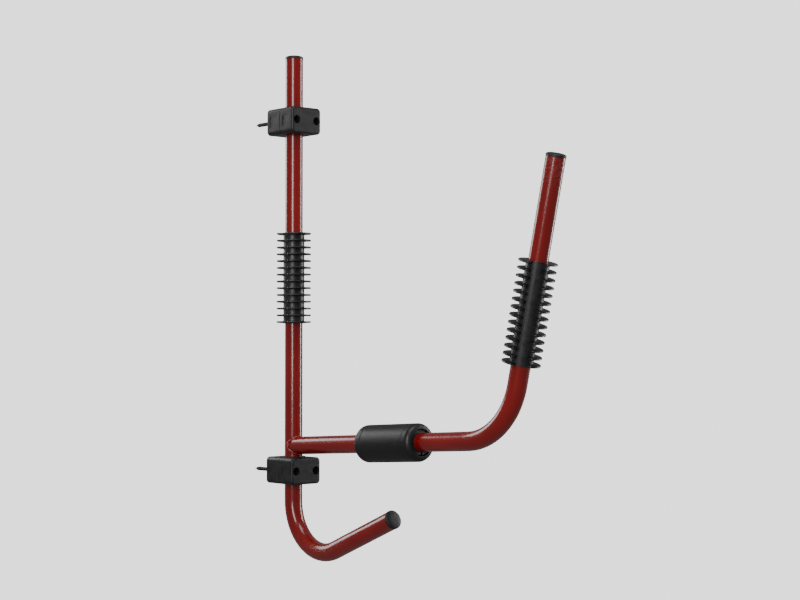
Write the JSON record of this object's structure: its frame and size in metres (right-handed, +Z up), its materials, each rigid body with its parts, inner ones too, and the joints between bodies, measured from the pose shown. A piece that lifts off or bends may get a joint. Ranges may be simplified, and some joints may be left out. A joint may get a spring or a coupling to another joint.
{
  "type": "kayak wall rack holder",
  "caption": "Steel tube wall holder for a kayak: a swivelling frame with a padded cradle arm, a hull roller and a paddle hook, carried in moulded wall brackets.",
  "frame": {"origin": "on the wall's face, midway between the lower bracket's two screws", "axes": "+X along the wall, +Y into the wall along the screws, +Z up"},
  "size_m": [0.046, 0.5286, 0.6337],
  "materials": {
    "red_powder_coat": "gloss powder coat",
    "black_nylon": "satin moulded",
    "plug_plastic": "satin moulded",
    "sleeve_rubber": "satin",
    "roller_rubber": "smooth satin",
    "bearing_plastic": "satin",
    "black_steel": "black oxide"
  },
  "bodies": {
    "wall_brackets": {"lower_bracket_base": "black_nylon", "lower_bracket_cap": "black_nylon", "lower_bracket_screws": "black_steel", "lower_screw_washers": "black_steel", "upper_bracket_base": "black_nylon", "upper_bracket_cap": "black_nylon", "upper_bracket_screws": "black_steel", "upper_screw_washers": "black_steel", "thrust_washer": "bearing_plastic"},
    "frame": {"upright_tube": "red_powder_coat", "cradle_arm": "red_powder_coat", "arm_weld": "red_powder_coat", "arm_end_plug": "plug_plastic", "hook_end_plug": "plug_plastic", "upright_top_plug": "plug_plastic", "arm_grip_sleeve": "sleeve_rubber", "upright_grip_sleeve": "sleeve_rubber", "inner_stop_ring": "bearing_plastic", "outer_stop_ring": "bearing_plastic"},
    "roller": {"roller_tyre": "roller_rubber", "roller_core": "bearing_plastic"}
  },
  "joints": [
    {"name": "frame_swivel", "type": "hinge", "parent": "wall_brackets", "child": "frame", "pos_m": [0, -0.026, 0], "axis": [0, 0, 1], "range_deg": [-90, 90]},
    {"name": "roller_spin", "type": "hinge", "parent": "frame", "child": "roller", "pos_m": [0, -0.026, 0.03068], "axis": [0, -0.9983, 0.0576], "continuous": true}
  ]
}
